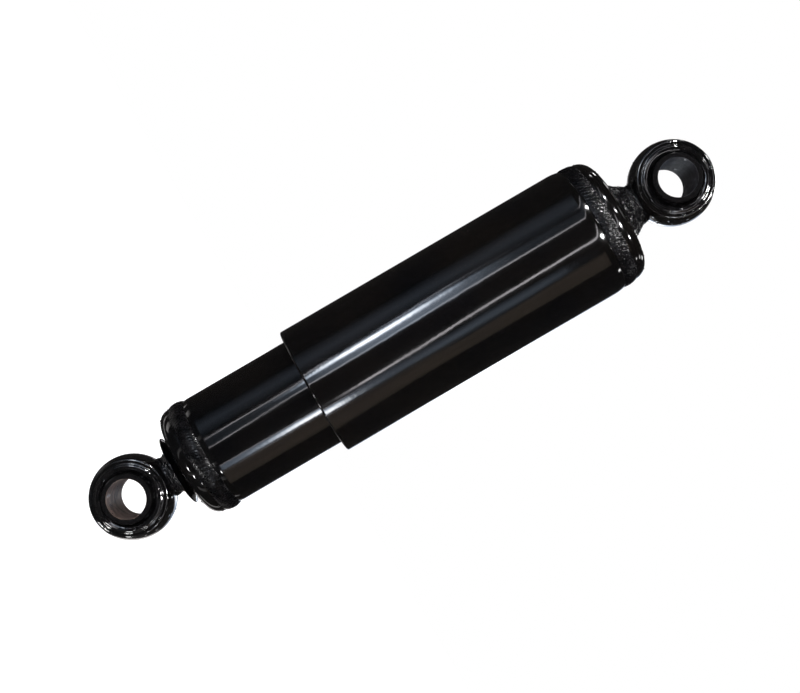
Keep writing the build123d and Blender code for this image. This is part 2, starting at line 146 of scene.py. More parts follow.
class WeldSettings(bpy.types.PropertyGroup):
    """Welds at the necks and round the tubes."""

    ripple_pitch: length_property("Ripple pitch", "Distance from one ripple to the next", 0.0005, 0.01, 0.0021)
    ripple_height: length_property("Ripple height", "Height of a ripple over the bead", 0, 0.002, 0.00042)
    spatter_count: bpy.props.IntProperty(
        name="Spatter", description="Number of drops thrown at each neck weld", min=0, max=400, default=90)
    grain_height: length_property("Grain height", "Height of the fine grain of the weld metal", 0, 0.001, 0.00016)
    seed: seed_property("Seed of the welds' unevenness", 11)


class TubeSettings(bpy.types.PropertyGroup):
    """Drawn tubes of the reservoir and the dust cover."""

    lip_radius: length_property("Lip radius", "Rounding of the dust cover's open edge", 0.0001, 0.0014, 0.0011)
    cover_roll: length_property("Cover roll", "How far the dust cover rolls in at its weld", 0, 0.0015, 0.0009)
    cover_roll_length: length_property(
        "Cover roll length", "Length over which the dust cover rolls in", 0.001, 0.03, 0.0085)
    reservoir_roll: length_property(
        "Reservoir roll", "How far the reservoir tube rolls in at its weld", 0, 0.0015, 0.0004)
    reservoir_roll_length: length_property(
        "Reservoir roll length", "Length over which the reservoir tube rolls in", 0.001, 0.03, 0.0032)
    waviness: length_property("Waviness", "Height of the long waves in the drawn tube", 0, 0.0005, 0.00004)


class RubberSettings(bpy.types.PropertyGroup):
    """Rubber bushes in the eyes."""

    color: color_property("Colour", "Colour of the bush rubber", (0.0030, 0.0029, 0.0032))
    flash_height: length_property("Flash height", "Height of the moulding flash on a bead", 0, 0.002, 0.0003)


class StageSettings(bpy.types.PropertyGroup):
    """Floor, light and camera."""

    floor_drop: length_property("Floor drop", "Depth of the floor under the lower eye", 0.02, 2, 0.26)
    lens: bpy.props.FloatProperty(
        name="Lens", description="Focal length of the camera in millimetres", min=10, max=300, default=67.37)
    sky_level: bpy.props.FloatProperty(
        name="Sky level", description="Light of the white surround on matt surfaces", min=0, max=2, default=0.55)
    lamp_level: bpy.props.FloatProperty(
        name="Lamp level", description="Share of the lamps' full power", min=0, max=4, default=1.0)
    card_radius: length_property("Card distance", "Distance of the lit cards from the shock", 0.5, 4, 1.5)
    tent_radius: length_property("Tent radius", "Radius of the dark tent that the gloss mirrors", 1, 6, 2.2)
    sparkle_count: bpy.props.IntProperty(
        name="Sparkle lamps", description="Number of small bright lamps behind the shock", min=0, max=40, default=7)
    seed: seed_property("Seed of the small lamps' places", 7)


# Node trees of the finishes
def set_inputs(made, inputs):
    """Sets a node's inputs to values, or links them to other nodes' outputs."""
    tree = made.id_data
    for key, value in inputs.items():
        socket = made.inputs[key]
        if isinstance(value, bpy.types.NodeSocket):
            tree.links.new(value, socket)
        else:
            socket.default_value = value


def add_node(tree, kind, inputs=None, **settings):
    """A new node with its settings, its inputs set to values or linked to other nodes' outputs."""
    made = tree.nodes.new(kind)
    for key, value in settings.items():
        setattr(made, key, value)
    set_inputs(made, inputs or {})
    return made


def new_finish(name, **surface):
    """A material with its node tree and its surface shader, whose plain sockets take the given values."""
    finish = bpy.data.materials.new(name)
    finish.use_nodes = True
    tree = finish.node_tree
    shader = tree.nodes["Principled BSDF"]
    set_inputs(shader, {key.replace("_", " "): value for key, value in surface.items()})
    return finish, tree, shader


def place_on_piece(tree, origin=(0, 0, 0)):
    """Each point's place on the piece, measured from an origin in metres."""
    point = add_node(tree, "ShaderNodeTexCoord").outputs["Object"]
    return add_node(tree, "ShaderNodeVectorMath", {0: point, 1: origin}, operation="SUBTRACT").outputs[0]


def noise_at(tree, point, size, detail=2.0, distortion=0.0):
    """Noise whose patches are about this many metres wide."""
    made = add_node(tree, "ShaderNodeTexNoise",
                    {"Vector": point, "Scale": 1 / size, "Detail": detail, "Distortion": distortion})
    return made.outputs["Fac"]


def spread(tree, value, low, high, start=0.0, end=1.0, **settings):
    """A value from low to high remapped to start to end, and held there outside it."""
    made = add_node(tree, "ShaderNodeMapRange",
                    {"Value": value, "From Min": low, "From Max": high, "To Min": start, "To Max": end}, **settings)
    return made.outputs["Result"]


def part_of(tree, vector, axis):
    return add_node(tree, "ShaderNodeSeparateXYZ", {0: vector}).outputs[axis]


def length_of(tree, vector):
    return add_node(tree, "ShaderNodeVectorMath", {0: vector}, operation="LENGTH").outputs["Value"]


def mix_colors(tree, factor, first, second):
    """A mix of two colours, each of them three numbers or another node's output."""
    first, second = ((*value, 1) if isinstance(value, tuple) else value for value in (first, second))
    return add_node(tree, "ShaderNodeMix", {0: factor, 6: first, 7: second}, data_type="RGBA").outputs[2]


def calculate(tree, operation, first, second=0.0):
    return add_node(tree, "ShaderNodeMath", {0: first, 1: second}, operation=operation).outputs[0]


def bump(tree, height, distance, strength, under=None):
    """A surface normal raised by a height from 0 to 1, over a distance in metres."""
    inputs = {"Height": height, "Distance": distance, "Strength": strength}
    if under is not None:
        inputs["Normal"] = under
    return add_node(tree, "ShaderNodeBump", inputs).outputs["Normal"]


def paint_drops(tree, point, spacing, share):
    """Heights from 0 to 1 of small domes, in this share of cells that are this many metres wide."""
    cells = add_node(tree, "ShaderNodeTexVoronoi", {"Vector": point, "Scale": 1 / spacing})
    dome = spread(tree, cells.outputs["Distance"], 0.0, 0.26, 1.0, 0.0, interpolation_type="SMOOTHSTEP")
    number = add_node(tree, "ShaderNodeSeparateColor", {0: cells.outputs["Color"]}).outputs["Red"]
    return calculate(tree, "MULTIPLY", dome, calculate(tree, "LESS_THAN", number, share))


def turning_lines(tree, point, height, groove, wobble):
    """Noise in fine rings along an axis, as a cutting tool leaves it. groove is their pitch, wobble their drift."""
    drift = calculate(tree, "MULTIPLY", noise_at(tree, point, 0.02, 2), wobble)
    place = calculate(tree, "DIVIDE", calculate(tree, "ADD", height, drift), groove)
    return add_node(tree, "ShaderNodeTexNoise", {"W": place, "Scale": 1.0, "Detail": 3.0},
                    noise_dimensions="1D").outputs["Fac"]


def darker(tint, share):
    return tuple(channel * share for channel in tint)


def gloss_paint(name, seed, drops=0.0):
    """Black gloss paint with a soft orange peel, thin warm patches, fine dust and a share of small drops."""
    paint = bpy.context.scene.shock_paint
    finish, tree, shader = new_finish(name, IOR=1.5, Specular_IOR_Level=0.8 if drops else 0.5)
    point = place_on_piece(tree, (seed, 0, 0))
    patches = spread(tree, noise_at(tree, point, 0.05, 3), 0.35, 0.7)
    dust = spread(tree, noise_at(tree, point, 0.0006, 3), 0.62, 0.8)
    color = mix_colors(tree, patches, tuple(paint.color), tuple(paint.warm_color))
    color = mix_colors(tree, calculate(tree, "MULTIPLY", dust, 0.06), color, (0.05, 0.05, 0.052))
    smears = noise_at(tree, point, 0.028, 4, 0.6)
    roughness = spread(tree, smears, 0.3, 0.75, paint.roughness * 0.75, paint.roughness * 1.35)
    peel = bump(tree, noise_at(tree, point, paint.peel_size, 1), 0.00003, 0.5)
    runs = bump(tree, noise_at(tree, point, 0.022, 1), 0.0002, 0.35, peel)
    if drops:
        runs = bump(tree, paint_drops(tree, point, 0.0042, drops), 0.0004, 1.0, runs)
    set_inputs(shader, {"Base Color": color, "Roughness": roughness, "Normal": runs})
    return finish


def weld_paint(name, relief, satin, gloss):
    """Paint over weld metal, satin in its hollows.

    relief is the grain's height in metres, satin the roughness in the hollows and gloss the specular level.
    """
    paint = bpy.context.scene.shock_paint
    finish, tree, shader = new_finish(name, IOR=1.5, Specular_IOR_Level=gloss)
    point = place_on_piece(tree)
    grain = noise_at(tree, point, 0.0012, 4, 0.4)
    patches = spread(tree, noise_at(tree, point, 0.004, 3), 0.4, 0.65)
    color = mix_colors(tree, patches, tuple(paint.color), (0.0072, 0.0064, 0.0070))
    roughness = spread(tree, grain, 0.35, 0.7, 0.10, satin)
    normal = bump(tree, paint_drops(tree, point, 0.0017, 0.6), relief, 1.0, bump(tree, grain, relief, 0.8))
    set_inputs(shader, {"Base Color": color, "Roughness": roughness, "Normal": normal})
    return finish


def bush_rubber():
    """Moulded black rubber under overspray, glossy with satin patches and small dimples."""
    rubber = bpy.context.scene.shock_rubber
    finish, tree, shader = new_finish("bush_rubber", IOR=1.5, Specular_IOR_Level=0.8)
    point = place_on_piece(tree)
    bloom = spread(tree, noise_at(tree, point, 0.006, 4, 0.5), 0.45, 0.75)
    color = mix_colors(tree, bloom, tuple(rubber.color), (0.013, 0.012, 0.012))
    grain = noise_at(tree, point, 0.0014, 3)
    roughness = spread(tree, bloom, 0.0, 1.0, 0.05, 0.10)
    normal = bump(tree, paint_drops(tree, point, 0.0034, 0.3), 0.00025, 1.0, bump(tree, grain, 0.00005, 0.4))
    set_inputs(shader, {"Base Color": color, "Roughness": roughness, "Normal": normal})
    return finish


def turned_steel(name, tint, along, rough, groove=0.0004):
    """Bare machined steel, with turning marks along an axis, stains and fine wear."""
    finish, tree, shader = new_finish(name, Metallic=1.0)
    point = place_on_piece(tree)
    lines = turning_lines(tree, point, part_of(tree, point, along), groove, groove * 2)
    stains = spread(tree, noise_at(tree, point, 0.008, 5, 0.8), 0.42, 0.72)
    color = mix_colors(tree, stains, tint, darker(tint, 0.45))
    roughness = spread(tree, lines, 0.3, 0.7, rough * 0.75, rough * 1.35)
    set_inputs(shader, {"Base Color": color, "Roughness": roughness, "Normal": bump(tree, lines, 0.00005, 0.6)})
    return finish


def sleeve_steel(name, eye, bore_radius, tint):
    """The bolt's sleeve: bare steel in the bore, with paint over its rim and outside."""
    paint = bpy.context.scene.shock_paint
    finish, tree, shader = new_finish(name, IOR=1.5, Specular_IOR_Level=0.12)
    point = place_on_piece(tree, (0, 0, eye))
    flat = add_node(tree, "ShaderNodeVectorMath", {0: point, 1: (1, 0, 1)}, operation="MULTIPLY").outputs[0]
    ragged = calculate(tree, "MULTIPLY", noise_at(tree, point, 0.003, 4), 0.0004)
    radius = calculate(tree, "SUBTRACT", length_of(tree, flat), ragged)
    painted = spread(tree, radius, bore_radius - 0.00012, bore_radius - 0.00006)
    lines = turning_lines(tree, point, part_of(tree, point, "Y"), 0.0004, 0.001)
    stains = spread(tree, noise_at(tree, point, 0.007, 5, 0.8), 0.40, 0.66)
    # For the upper sleeve, tint holds painted shade of the deep bore.
    bare = mix_colors(tree, stains, tint, darker(tint, 0.4))
    drops = spread(tree, noise_at(tree, point, 0.0022, 4, 0.3), 0.63, 0.68)
    covered = calculate(tree, "MAXIMUM", painted, calculate(tree, "MULTIPLY", drops, 0.8))
    grain = noise_at(tree, point, 0.0012, 3)
    coat = mix_colors(tree, grain, tuple(paint.color), (0.012, 0.011, 0.011))
    bare_roughness = spread(tree, lines, 0.3, 0.7, 0.5, 0.68)
    coat_roughness = spread(tree, grain, 0.3, 0.7, 0.11, 0.2)
    rough = add_node(tree, "ShaderNodeMix", {0: covered, 2: bare_roughness, 3: coat_roughness}).outputs[0]
    relief = add_node(tree, "ShaderNodeMix", {0: covered, 2: lines, 3: grain}).outputs[0]
    set_inputs(shader, {"Base Color": mix_colors(tree, covered, bare, coat), "Roughness": rough,
                        "Metallic": spread(tree, covered, 0, 1, 0.15, 0.0), "Normal": bump(tree, relief, 0.00006, 0.6)})
    return finish


def speckled(name, first, second, rough, metallic=0.0):
    """A plain finish of two close tones with grain: sintered iron, plastics and elastomers."""
    finish, tree, shader = new_finish(name, Metallic=metallic)
    point = place_on_piece(tree)
    grain = noise_at(tree, point, 0.0008, 3)
    clouds = spread(tree, noise_at(tree, point, 0.009, 4, 0.4), 0.35, 0.7)
    color = mix_colors(tree, clouds, first, second)
    roughness = spread(tree, grain, 0.3, 0.7, rough * 0.8, min(1.0, rough * 1.25))
    set_inputs(shader, {"Base Color": color, "Roughness": roughness, "Normal": bump(tree, grain, 0.00006, 0.6)})
    return finish


def dress(nodes, finish):
    """Gives solids a finish in all their material slots."""
    for name in nodes:
        solid = frame["nodes"][name]
        if not solid.material_slots:
            solid.data.materials.append(finish)
        for material_slot in solid.material_slots:
            material_slot.material = finish


# Meshes made point by point
def new_piece(name, mesh, finish, body, slot, *replaced):
    """A piece from a bmesh, smooth-shaded, that rides on a body and stands for some of the solids."""
    data = bpy.data.meshes.new(name)
    bmesh.ops.recalc_face_normals(mesh, faces=mesh.faces)
    mesh.to_mesh(data)
    mesh.free()
    data.shade_smooth()
    piece = bpy.data.objects.new(name, data)
    bpy.context.scene.collection.objects.link(piece)
    data.materials.append(finish)
    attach(piece, body)
    if replaced:
        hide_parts(*replaced)
    return piece


def turned_mesh(steps, rings, point_of, closed=False):
    """A skin of rings round an axis. point_of(angle, ring) gives each point.

    closed joins the last ring to the first, and otherwise both ends get a flat face.
    """
    mesh = bmesh.new()
    rows = [[mesh.verts.new(point_of(TURN * step / steps, ring)) for step in range(steps)] for ring in range(rings)]
    pairs = list(zip(rows, rows[1:])) + ([(rows[-1], rows[0])] if closed else [])
    for low, high in pairs:
        for step in range(steps):
            following = (step + 1) % steps
            mesh.faces.new((low[step], low[following], high[following], high[step]))
    if not closed:
        mesh.faces.new(reversed(rows[0]))
        mesh.faces.new(rows[-1])
    return mesh


def ripple(angle, across, radius, pitch, seed):
    """Height from 0 to 1 of a bead's ripples, which lag behind at its two edges. across runs from -1 to 1."""
    lag = 1.1 * across * across
    drift = 0.8 * noise.noise(polar(4, angle, seed))
    phase = angle * radius / pitch + lag + drift
    return (phase - math.floor(phase)) ** 0.7


def uneven(point, size, seed):
    """Soft noise from -1 to 1 with lumps about this many metres wide."""
    return noise.noise(Vector(point) / size + Vector((seed, seed * 1.7, seed * 0.3)))


def weld_lift(spot, angle, across, radius, pitch, weld, seed):
    """How far weld metal stands over its mean surface: ripples, lumps and grain."""
    ripples = weld.ripple_height * (ripple(angle, across, radius, pitch, seed) - 0.7)
    lumps = weld.ripple_height * 0.6 * uneven(spot, 0.0046, seed)
    grain = weld.grain_height * (uneven(spot, 0.0013, seed + 2) + 0.5 * uneven(spot, 0.0007, seed + 4))
    return ripples + lumps + grain


def seam_bead(low, high, profile, backing, pitch, weld, seed, lift=1.0):
    """A ring of weld bead. profile(across) gives its radius from edge to edge, -1 to 1, and backing that inside it."""
    steps, rings = 760, 27
    middle, half = (low + high) / 2, (high - low) / 2

    def point_of(angle, ring):
        sway = noise.noise(polar(3, angle, seed))
        if ring >= rings:
            across, radius = 1 - 2 * (ring - rings), backing
        else:
            across = -1 + 2 * ring / (rings - 1)
            swell = max(0.0, 1 - across ** 2) ** 0.5
            radius = profile(across)
            spot = polar(radius, angle, middle + half * across)
            fade = (0.25 + 0.75 * swell) * min(1, 8 * swell)
            radius += lift * fade * weld_lift(spot, angle, across, radius, pitch, weld, seed)
        z = middle + half * across * (0.97 + 0.06 * sway)
        return polar(radius, angle, min(max(z, low), high))

    return turned_mesh(steps, rings + 2, point_of, closed=True)


def tube_shell(name, node, finish, body, weld_end, roll, roll_length, lip, waviness, seed):
    """A drawn tube in place of a plain one: a rounded open lip, an end rolled in at its weld and faint long waves."""
    low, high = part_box(node)
    outer, inner, length = node_radius(node), hole_radius(node), high.z - low.z
    corners, steps = 8, 256
    fine, coarse, end_zone, bevel = 0.0005, 0.004, 0.02, 0.0003
    wall = []  # (radius, height) from the open lip up the outside and down the inside
    for index in range(corners + 1):
        turn = math.pi / 2 * index / corners
        wall.append((outer - lip * (1 - math.sin(turn)), lip * (1 - math.cos(turn))))
    place = lip
    while place < length - 0.0006:
        place += fine if min(place, length - place) < end_zone else coarse
        wall.append((outer, min(place, length - 0.0004)))
    wall += [(outer, length), (inner, length), (inner, bevel), (inner + bevel, 0)]
    weld_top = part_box("base_seam_weld")[1].z

    def point_of(angle, index):
        radius, along = wall[index]
        z = low.z + along
        if radius > max(outer - 0.0012, inner + 0.0002):
            from_weld = high.z - z if weld_end == "top" else z - weld_top
            radius -= roll * min(1.0, max(0.0, 1 - from_weld / roll_length)) ** 2.5
            radius -= waviness * (0.6 + 0.6 * uneven(polar(2.2 * outer, angle, z), 0.03, seed))
        return polar(radius, angle, z)

    new_piece(name, turned_mesh(steps, len(wall), point_of, closed=True), finish, body, "black_paint", node)


class SHOCK_OT_paint(bpy.types.Operator):
    """Paints the tubes, caps, flange and eye rings gloss black"""

    bl_idname = "shock.paint"
    bl_label = "Paint tubes and rings"

    def execute(self, context):
        tubes = context.scene.shock_tubes
        reservoir_paint, cover_paint = gloss_paint("reservoir_paint", 0.0), gloss_paint("cover_paint", 0.3)
        dress(("reservoir_tube", "base_cap", "base_flange"), reservoir_paint)
        dress(("dust_cover_tube", "cover_cap"), cover_paint)
        tube_shell("reservoir_shell", "reservoir_tube", reservoir_paint, "cylinder", "bottom", tubes.reservoir_roll,
                   tubes.reservoir_roll_length, lip=0.0002, waviness=tubes.waviness, seed=3)
        tube_shell("cover_shell", "dust_cover_tube", cover_paint, "rod", "top", tubes.cover_roll,
                   tubes.cover_roll_length, lip=tubes.lip_radius, waviness=tubes.waviness, seed=9)
        self.flange(reservoir_paint)
        dress(("lower_eye_ring", "upper_eye_ring"), gloss_paint("ring_paint", 0.7, drops=0.4))
        return {"FINISHED"}

    def flange(self, finish):
        """The pressed flange under the base: a thin dish whose rim flares out towards the lower eye."""
        low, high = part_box("base_flange")
        rim, height = node_radius("base_flange"), high.z - low.z
        hole, steps = 0.013, 192
        # each point is a radius and a share of the flange's height
        upper = ((hole, 1.0), (0.0162, 1.0), (0.0164, 0.86), (0.0171, 0.64), (0.0184, 0.42), (0.0201, 0.27),
                 (rim - 0.0007, 0.20), (rim - 0.0002, 0.17), (rim, 0.10))
        under = ((rim - 0.0001, 0.04), (rim - 0.0005, 0.0), (0.0199, 0.07), (0.0179, 0.22), (0.0164, 0.42),
                 (0.0155, 0.64), (hole, 0.66))
        section = upper + under

        def point_of(angle, index):
            radius, share = section[index]
            if 0.02 < share < 0.9:
                share += 0.05 * uneven(polar(radius, angle, 0), 0.012, 2)
            return polar(radius, angle, low.z + height * min(1.0, max(0.0, share)))

        new_piece("flange_dish", turned_mesh(steps, len(section), point_of, closed=True), finish, "cylinder",
                  "black_paint", "base_flange")


class SHOCK_OT_seam_welds(bpy.types.Operator):
    """Lays the rippled seam welds round the base and the dust cover"""

    bl_idname = "shock.seam_welds"
    bl_label = "Seam welds"

    def execute(self, context):
        weld = context.scene.shock_weld
        finish = weld_paint("base_weld_paint", relief=0.00007, satin=0.4, gloss=0.12)
        low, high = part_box("base_seam_weld")
        crest, wall = node_radius("base_seam_weld"), node_radius("reservoir_tube")
        bead = seam_bead(low.z, high.z, lambda across: wall - 0.0002 + (crest - wall) * (1 - across ** 2) ** 0.8,
                         wall - BEAD_DEPTH, weld.ripple_pitch, weld, weld.seed, lift=0.45)
        new_piece("base_bead", bead, finish, "cylinder", "painted_weld", "base_seam_weld")

        finish = weld_paint("cover_weld_paint", relief=0.00025, satin=0.2, gloss=0.17)
        low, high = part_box("cover_seam_weld")
        edge = node_radius("dust_cover_tube") - context.scene.shock_tubes.cover_roll
        shoulder = node_radius("cover_cap")
        bulge = 0.0006

        def radius_at(across):
            share = (across + 1) / 2
            return edge + (shoulder - edge) * share + bulge * (1 - across ** 2)

        bead = seam_bead(low.z, high.z, radius_at, shoulder - BEAD_DEPTH, weld.ripple_pitch * 1.1, weld, weld.seed + 5)
        new_piece("cover_bead", bead, finish, "rod", "painted_weld", "cover_seam_weld")
        return {"FINISHED"}


class SHOCK_OT_neck_welds(bpy.types.Operator):
    """Builds the lumpy weld necks between the eyes and the two tubes"""

    bl_idname = "shock.neck_welds"
    bl_label = "Neck welds"

    def execute(self, context):
        weld = context.scene.shock_weld
        finish = weld_paint("neck_weld_paint", relief=0.0004, satin=0.14, gloss=0.3)
        ring = node_radius("lower_eye_ring")
        flange, base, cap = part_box("base_flange")[0].z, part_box("base_cap")[0].z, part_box("cover_cap")[1].z
        stations = ((ring, NECK_ROOT), (flange, 0.0146), (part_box("lower_eye_weld")[1].z, 0.0146))
        self.neck("lower_neck_weld", LOWER_EYE, 1, ring, stations, weld, finish, "cylinder", "lower_eye_weld")
        reach = UPPER_EYE - cap
        stations = ((ring, NECK_ROOT), (reach - 0.0024, 0.0192), (reach, 0.0196))
        self.neck("upper_neck_weld", UPPER_EYE, -1, ring, stations, weld, finish, "rod", "upper_eye_weld")
        solids, pieces, finish = frame["nodes"], bpy.data.objects, gloss_paint("spatter_paint", 0.5)
        grounds = (solids["base_cap"], solids["lower_eye_ring"], pieces["lower_neck_weld"], pieces["flange_dish"])
        self.spatter("lower_spatter", grounds, LOWER_EYE + ring * 0.8, base + 0.006, weld, finish, "cylinder")
        grounds = (solids["cover_cap"], solids["upper_eye_ring"], pieces["upper_neck_weld"])
        self.spatter("upper_spatter", grounds, cap - 0.005, UPPER_EYE - ring * 0.8, weld, finish, "rod")
        return {"FINISHED"}

    def spatter(self, name, grounds, low, high, weld, finish, body):
        """Small drops of weld metal that stuck round a neck, sunk a little into what they lie on."""
        skins = [BVHTree.FromPolygons([vertex.co for vertex in ground.data.vertices],
                                      [face.vertices for face in ground.data.polygons]) for ground in grounds]
        chance = random.Random(f"{name} {weld.seed}")
        mesh = bmesh.new()
        away = 0.06
        for _ in range(weld.spatter_count):
            outward = polar(1, chance.uniform(0, TURN), 0)
            start = outward * away + Vector((0, 0, chance.uniform(low, high)))
            way = (Vector((0, 0, chance.uniform(-0.012, 0.012))) - outward * away).normalized()
            hits = [hit for hit in (skin.ray_cast(start, way) for skin in skins) if hit[0]]
            if not hits:
                continue
            place, normal, _, _ = min(hits, key=lambda hit: hit[3])
            size = chance.uniform(0.0003, 0.0007)
            where = Matrix.Translation(place - normal * size * 0.25) @ Matrix.Diagonal(
                (chance.uniform(0.8, 1.3), chance.uniform(0.8, 1.3), chance.uniform(0.7, 1.0), 1))
            bmesh.ops.create_icosphere(mesh, subdivisions=2, radius=size, matrix=where)
        new_piece(name, mesh, finish, body, "painted_weld")

    def neck(self, name, eye, way, ring, stations, weld, finish, body, replaced):
        """A neck that grows out of an eye ring. stations are (distance from the eye, radius)."""
        steps, rings = 280, 56
        sunk, flare, flare_length = 0.0012, 0.0012, 0.0016
        seed = weld.seed + (3 if way > 0 else 8)

        def radius_at(distance):
            for (start, near_radius), (end, far_radius) in zip(stations, stations[1:]):
                if distance <= end:
                    share = max(0.0, (distance - start) / (end - start))
                    return near_radius + (far_radius - near_radius) * share
            return stations[-1][1]

        def point_of(angle, index):
            saddle = math.sqrt(ring ** 2 - (NECK_ROOT * math.cos(angle)) ** 2) - sunk
            share = index / (rings - 1)
            distance = saddle + (stations[-1][0] - saddle) * share
            radius = radius_at(distance) + flare * math.exp(-(distance - saddle) / flare_length)
            fade = min(1.0, 6 * share, 8 * (1 - share))
            spot = polar(radius, angle, distance)
            bead = math.sin(math.pi * min(1.0, share * 2.2)) ** 2
            lumps = 0.0011 * uneven(spot, 0.0045, seed) + 0.0004 * uneven(spot, 0.0018, seed)
            ripples = 1.8 * bead * weld_lift(spot, angle, 0.0, radius, weld.ripple_pitch * 1.7, weld, seed)
            return polar(radius + fade * (ripples + lumps), angle, eye + way * distance)

        new_piece(name, turned_mesh(steps, rings, point_of), finish, body, "painted_weld", replaced)


class SHOCK_OT_rubbers(bpy.types.Operator):
    """Moulds the rubber bushes with their beads and flash"""

    bl_idname = "shock.rubbers"
    bl_label = "Rubber bushes"

    def execute(self, context):
        finish = bush_rubber()
        for end, eye, body in (("lower", LOWER_EYE, "cylinder"), ("upper", UPPER_EYE, "rod")):
            self.bush(end, eye, body, finish, context.scene.shock_rubber.flash_height)
        return {"FINISHED"}

    def bush(self, end, eye, body, finish, flash):
        """A bush with a rounded bead on each side, and the moulding flash and soft dents on it."""
        node = f"{end}_eye_rubber"
        outer, inner = node_radius(node), node_radius(f"{end}_bush_sleeve") + 0.00005
        bead, dent_depth, arc, steps = 0.0026, 0.00022, 18, 240
        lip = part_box(node)[1].y - bead
        start = inner + 0.0005
        crest = (start + outer) / 2
        half = [(inner, lip - 0.004), (inner, lip)]
        for index in range(arc + 1):
            turn = math.pi * index / arc
            half.append((crest - (crest - start) * math.cos(turn), lip + bead * math.sin(turn) ** 0.85))
        half.append((outer, lip - 0.004))
        section = half + [(radius, -y) for radius, y in reversed(half)]

        def point_of(angle, index):
            radius, y = section[index]
            if inner + 0.0004 < radius < outer - 0.0004:
                across = (radius - crest) / (crest - start)
                line = flash * math.exp(-((across - 0.35) / 0.12) ** 2)
                dent = dent_depth * uneven((radius * math.cos(angle), y, radius * math.sin(angle)), 0.006, 4)
                y -= math.copysign(flash + dent_depth - line - dent, y)
            return Vector((radius * math.cos(angle), y, eye + radius * math.sin(angle)))

        mesh = turned_mesh(steps, len(section), point_of, closed=True)
        new_piece(f"{end}_bush", mesh, finish, body, "bush_rubber", node)


class SHOCK_OT_sleeves(bpy.types.Operator):
    """Finishes the bolt sleeves, bare in the bore and painted outside"""

    bl_idname = "shock.sleeves"
    bl_label = "Bolt sleeves"

    def execute(self, context):
        # The upper sleeve's steel is tinted near black: painted shade of its deep bore. The lower sleeve's bore is
        # brown steel.
        brown, dark = (0.240, 0.170, 0.140), (0.040, 0.038, 0.044)
        for end, eye, tint in (("lower", LOWER_EYE, brown), ("upper", UPPER_EYE, dark)):
            sleeve = f"{end}_bush_sleeve"
            dress((sleeve,), sleeve_steel(f"{end}_sleeve_steel", eye, hole_radius(sleeve, eye), tint))
        return {"FINISHED"}


class SHOCK_OT_check_springs(bpy.types.Operator):
    """Forms the star washers that spring the two check plates, as fixed shapes that don't flatten as the plates lift"""

    bl_idname = "shock.check_springs"
    bl_label = "Check springs"

    def execute(self, context):
        finish = turned_steel("star_washer_steel", (0.34, 0.34, 0.35), along="X", rough=0.2)
        for end, body in (("base", "cylinder"), ("piston", "rod")):
            self.washer(end, body, finish)
        return {"FINISHED"}

    def washer(self, end, body, finish):
        """A thin cone whose foot is cut into points."""
        node = f"{end}_check_spring"
        low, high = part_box(node)
        foot, top = node_radius(node), hole_radius(node)
        width, thick, gap, points, steps = 0.9 * MM, 0.25 * MM, 0.02 * MM, 8, 192
        bottom, crown = low.z + gap, high.z - gap
        section = ((foot - width, bottom), (foot, bottom), (foot, bottom + thick), (foot - 0.8 * width, bottom + thick),
                   (top + width, crown), (top, crown), (top, crown - thick), (top + 0.8 * width, crown - thick))

        def point_of(angle, index):
            radius, z = section[index]
            if radius == foot:
                radius -= 0.7 * width * (0.5 - 0.5 * math.cos(points * angle))
            return polar(radius, angle, z)

        washer = new_piece(f"{end}_star_washer", turned_mesh(steps, len(section), point_of, closed=True), finish,
                           body, "spring_steel", node)
        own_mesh(washer)


class SHOCK_OT_inner_works(bpy.types.Operator):
    """Finishes the rod, piston, valves, guide and seals inside the shock"""

    bl_idname = "shock.inner_works"
    bl_label = "Inner works"

    def execute(self, context):
        dress(("piston_rod",), turned_steel("rod_chrome", (0.62, 0.62, 0.63), along="Z", rough=0.08, groove=0.0002))
        dress(("pressure_tube", "base_valve_bolt", "base_valve_nut", "piston_nut", "rebound_stop_collar",
               "seal_backing_washer", "gland_nut", "base_check_stop", "piston_check_stop"),
              turned_steel("machined_steel", (0.42, 0.41, 0.40), along="Z", rough=0.3))
        dress(("base_valve_body", "piston", "rod_guide"),
              speckled("sintered_iron", (0.17, 0.165, 0.16), (0.11, 0.105, 0.10), rough=0.5, metallic=0.85))
        dress([name for name in frame["nodes"] if "shim" in name or "check_plate" in name or "spring" in name],
              turned_steel("spring_steel", (0.36, 0.35, 0.34), along="X", rough=0.2))
        dress(("rod_guide_bush",), turned_steel("guide_bronze", (0.48, 0.31, 0.15), along="Z", rough=0.28))
        dress(("piston_band",), speckled("band_plastic", (0.10, 0.06, 0.03), (0.07, 0.045, 0.025), rough=0.4))
        dress(("rod_seal", "wiper_seal", "guide_o_ring"),
              speckled("seal_rubber", (0.014, 0.014, 0.015), (0.024, 0.023, 0.022), rough=0.42))
        dress(("rebound_buffer",), speckled("buffer_elastomer", (0.42, 0.30, 0.12), (0.33, 0.22, 0.08), rough=0.5))
        return {"FINISHED"}


